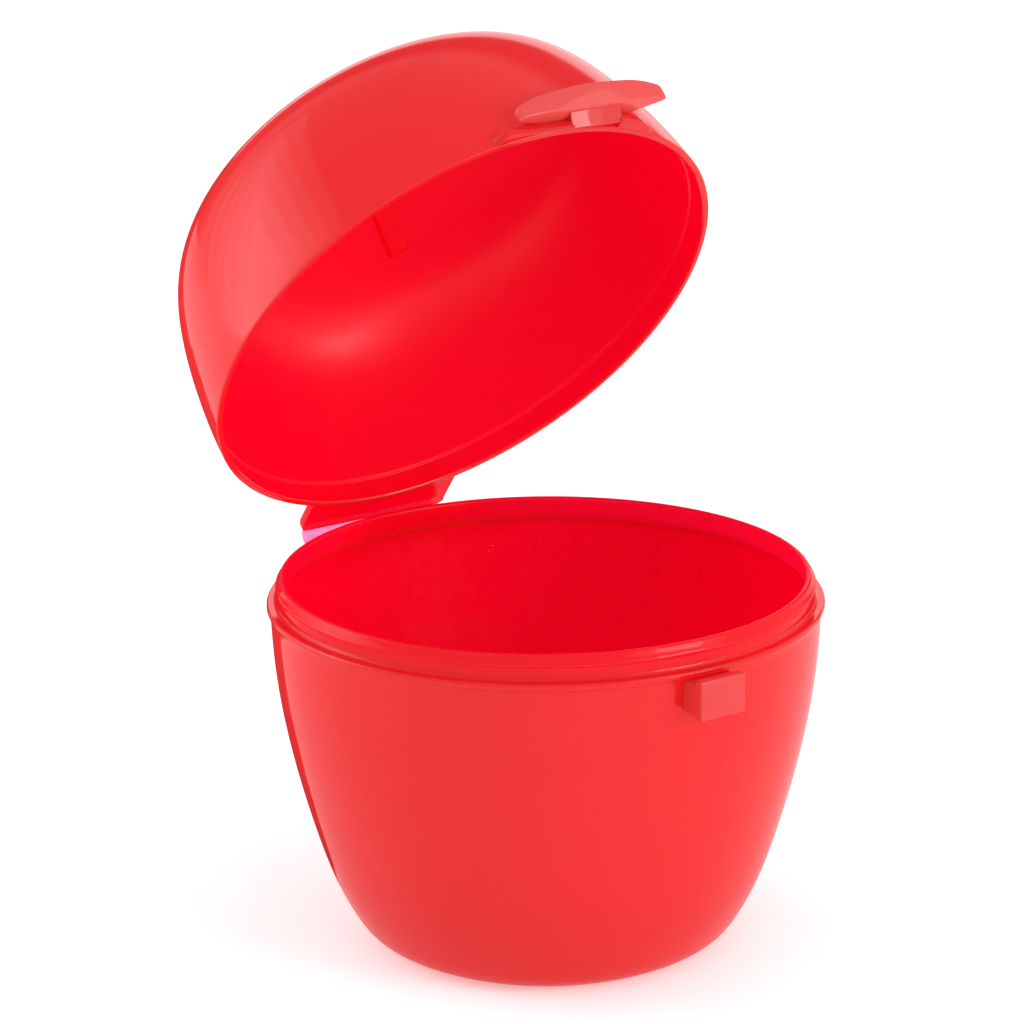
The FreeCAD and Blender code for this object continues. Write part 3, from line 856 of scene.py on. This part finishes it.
def liner_sec(t):
    rear = min(t, 1 - t)
    end = math.sin(min(1.0, rear / 0.02) * math.pi / 2)
    top_o = min(GH - notch(t) - 2.0, 17.2)
    top_i = 12.4 - 1.5 * (abs(2 * t - 1) ** 4)
    wdt = lerp(12.4, 10.0, math.exp(-((t - 0.5) / 0.16) ** 2))
    a, b = 2.25, wdt - 2.25
    # shallow bite row: cusps along the floor of the channel
    bite = 0.35 * math.sin(t * math.pi * 28) ** 2
    pts = [(a, 3.2), (a, 9.0), (a - 0.02, top_o - 1.0), (a + 0.45, top_o), (a + 1.05, top_o - 0.5), (a + 1.35, top_o - 1.8),
           (a + 1.45, 8.5), (a + 1.6, 5.6 + bite), (a + 2.1, 4.75 + bite), ((a + b) / 2, 4.45 + bite * 1.6),
           (b - 2.1, 4.75 + bite), (b - 1.6, 5.6 + bite), (b - 1.4, 8.5), (b - 1.25, top_i - 1.4), (b - 0.9, top_i - 0.4), (b - 0.35, top_i - 0.1), (b, top_i - 1.0),
           (b, 6.0), (b, 3.2), (b - 0.8, 2.4), ((a + b) / 2, 2.3), (a + 0.8, 2.4)]
    out = []
    mid = wdt / 2
    for d, h in pts:
        d2 = mid + (d - mid) * lerp(0.84, 1.0, end)
        h2 = lerp(4.0, h, lerp(0.85, 1.0, end))
        p, n_ = arch_frame(t, max(h2, 0) / GH)
        q_ = p + n_ * d2
        out.append((q_[0], q_[1], GZ0 + h2))
    return out


def subdivided(ob, levels=1):
    md = ob.modifiers.new("sub", "SUBSURF")
    md.levels = levels
    md.render_levels = levels
    return apply_all(ob)


guard = subdivided(guard_part("guard_shell_skin", shell_sec))
liner = subdivided(guard_part("guard_liner_skin", liner_sec, 168))

# ---------------------------------------------------------- dress and attach
for ob, mat, body, nodes, slot_name in (
        (cup, RED_CUP, "cup", ("cup_shell",), "red_pp"),
        (catch, BLOCK_PAINTED_SHEEN, "cup", ("cup_catch",), "red_pp"),
        (cup_leaf, LEAF, "cup", ("cup_hinge_leaf",), "red_pp"),
        (lid, RED, "lid", ("lid_shell",), "red_pp"),
        (lid_leaf, LEAF, "lid", ("lid_hinge_leaf",), "red_pp"),
        (tab, MILKY_PAINTED_SHEEN, "lid", ("lid_tab",), "red_pp"),
        (lug, BLOCK_PAINTED_SHEEN, "lid", ("lid_tab_lug",), "red_pp"),
        (apr, RED, "lid", ("lid_apron",), "red_pp"),
        (rib, RED_IN_PAINTED_GLOW, "lid", ("lid_rib",), "red_pp"),
        (guard, GUARD, "guard", ("guard_shell",), "guard_outer"),
        (liner, LINER, "guard", ("guard_liner",), "guard_inner")):
    ob.data.materials.clear()
    ob.data.materials.append(mat)
    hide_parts(*nodes)
    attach(ob, body)

def inner_faces(ob, inside, mat_):
    """Give the faces that the test picks out the rougher inside material, whose brighter, more crimson red is a
    painted glow of the light coming in through the thin wall.
    """
    ob.data.materials.append(mat_)
    for p_ in ob.data.polygons:
        if inside(p_.center / MM, p_.normal):
            p_.material_index = 1


def in_cup(c_, n_):
    rad = math.hypot(c_.x, c_.y)
    return c_.z > FLOOR - 0.05 and (n_.x * c_.x + n_.y * c_.y) < 0.02 * rad and rad < 42.95 and not (c_.z > 56.7 and rad > 42.0)


def in_lid(c_, n_):
    dy, dz = c_.y - HINGE_Y, c_.z - HINGE_Z
    y, z = HINGE_Y + dy * math.cos(OPEN) - dz * math.sin(OPEN), HINGE_Z + dy * math.sin(OPEN) + dz * math.cos(OPEN)
    return math.hypot(math.hypot(c_.x, y), 0) < 43.7 and z - LID_Z < 36.99 and inside_dome(math.hypot(c_.x, y), z - LID_Z)


LIN_R = [p[0] for p in lin][::-1]
LIN_Z = [p[1] for p in lin][::-1]


def inside_dome(r, h):
    if h < 4.3:
        return r < 43.7
    return r < float(np.interp(h, [p[1] for p in lin], [p[0] for p in lin])) + 0.35


inner_faces(cup, in_cup, RED_CUP_IN_PAINTED_GLOW)
inner_faces(lid, in_lid, RED_IN_PAINTED_GLOW)

web.data.materials.clear()
web.data.materials.append(FILM)
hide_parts("hinge_web")
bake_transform(web)

# ------------------------------------------------------------------- stage
bm = bmesh.new()
bmesh.ops.create_grid(bm, x_segments=24, y_segments=24, size=4.0)
floor = new_object("floor", bm)
mat, nt, out = node_tree("floor_white")
pr = nt.nodes.new("ShaderNodeBsdfPrincipled")
pr.inputs["Base Color"].default_value = (0.93, 0.93, 0.935, 1)
pr.inputs["Roughness"].default_value = 0.7
pr.inputs["Specular IOR Level"].default_value = 0.1
pr.inputs["Emission Color"].default_value = (1, 1, 1, 1)
pr.inputs["Emission Strength"].default_value = 0.32
nt.links.new(pr.outputs["BSDF"], out.inputs["Surface"])
floor.data.materials.append(mat)

# studio surroundings: pale walls, white straight behind the object, darker gaps beside it
world = bpy.data.worlds.new("studio")
scene.world = world
world.use_nodes = True
nt = world.node_tree
bg = nt.nodes["Background"]
tc = nt.nodes.new("ShaderNodeTexCoord")
dot = nt.nodes.new("ShaderNodeVectorMath")
dot.operation = "DOT_PRODUCT"
fwd = Vector((-back.x, -back.y, 0)).normalized()
dot.inputs[1].default_value = fwd
nt.links.new(tc.outputs["Generated"], dot.inputs[0])
mr = nt.nodes.new("ShaderNodeMapRange")
mr.inputs["From Min"].default_value = -1.0
mr.inputs["From Max"].default_value = 1.0
nt.links.new(dot.outputs["Value"], mr.inputs["Value"])
ramp = nt.nodes.new("ShaderNodeValToRGB")
els = ramp.color_ramp.elements


def grey(v):
    return (v, v, v, 1)


els[0].position, els[0].color = 0.0, grey(0.36)
els[1].position, els[1].color = 1.0, grey(0.95)
for pos, v in ((0.50, 0.42), (0.82, 0.52), (0.885, 0.14), (0.955, 0.14), (0.968, 0.95)):
    e_ = els.new(pos)
    e_.color = grey(v)
nt.links.new(mr.outputs["Result"], ramp.inputs["Fac"])
nt.links.new(ramp.outputs["Color"], bg.inputs["Color"])
bg.inputs["Strength"].default_value = 2.0


def area(name, pos, target, size, radiance, size_y=None):
    d = bpy.data.lights.new(name, "AREA")
    d.shape = "RECTANGLE"
    d.size = size
    d.size_y = size_y or size
    d.energy = radiance * 4 * size * (size_y or size)
    o = bpy.data.objects.new(name, d)
    v = Vector(target) - Vector(pos)
    o.rotation_euler = v.to_track_quat("-Z", "Y").to_euler()
    o.location = pos
    scene.collection.objects.link(o)
    return o


def at(az_from_cam, el, dist, z=0.07):
    """Position by azimuth from the camera's side (positive to the camera's right), in degrees."""
    toward = Vector((back.x, back.y, 0)).normalized()
    side = Vector((-toward.y, toward.x, 0))
    a, e = math.radians(az_from_cam), math.radians(el)
    v = (toward * math.cos(a) + side * math.sin(a)) * math.cos(e)
    return (v.x * dist, v.y * dist, z + dist * math.sin(e))


T = (0, 0.01, 0.09)
# a large soft box on the left, brightest low in its middle: nested panels fading outward
for i, (az_, el_, w_, h_, l_) in enumerate(((-96, 11, 0.26, 0.42, 0.55), (-97, 13, 0.40, 0.58, 0.55), (-98, 15, 0.56, 0.74, 0.5),
                                            (-99, 17, 0.72, 0.88, 0.45), (-101, 20, 0.92, 1.04, 0.45))):
    area("softbox_left_%d" % i, at(az_, el_, 1.0 + 0.02 * i), T, w_, l_, h_)
area("softbox_right", at(58, 16, 0.95), T, 0.72, 1.0, 0.75)
area("softbox_right_core", at(57, 17, 0.93), T, 0.34, 5.0, 0.36)


def flag(name, az_from_cam, dist, width, height):
    """Dark card beside the backdrop that gives the glossy edges their dark line."""
    x, y, _ = at(az_from_cam, 0, dist, 0)
    n_ = Vector((-x, -y, 0)).normalized()
    t_ = Vector((-n_.y, n_.x, 0))
    bm = bmesh.new()
    vs = [bm.verts.new((x + t_.x * a * width / 2, y + t_.y * a * width / 2, z)) for a, z in ((-1, 0.002), (1, 0.002), (1, height), (-1, height))]
    bm.faces.new(vs)
    ob = new_object(name, bm, smooth=False)
    ob.data.materials.append(CARD)
    ob.visible_camera = False
    ob.visible_shadow = False
    ob.visible_diffuse = False


CARD, nt, out = node_tree("card_black")
pr = nt.nodes.new("ShaderNodeBsdfPrincipled")
pr.inputs["Base Color"].default_value = (0.08, 0.08, 0.08, 1)
pr.inputs["Roughness"].default_value = 0.9
nt.links.new(pr.outputs["BSDF"], out.inputs["Surface"])
flag("flag_left", -154, 0.30, 0.13, 0.14)

# dark card lying behind the cup's left side: the dark line down the cup's left edge
toward = Vector((back.x, back.y, 0)).normalized()
side = Vector((-toward.y, toward.x, 0))
bm = bmesh.new()
bm.faces.new([bm.verts.new(side * s_ * MM - toward * f_ * MM + Vector((0, 0, 0.0006)))
              for s_, f_ in ((-32, 13), (-34, 300), (-235, 300), (-125, 116), (-78, 50), (-45, 13))])
low = new_object("flag_low", bm, smooth=False)
low.data.materials.append(CARD)
low.visible_camera = False
low.visible_shadow = False
low.visible_diffuse = False

scene.view_settings.view_transform = "Standard"
scene.view_settings.look = "None"
scene.view_settings.exposure = 0.0
scene.view_settings.gamma = 1.0
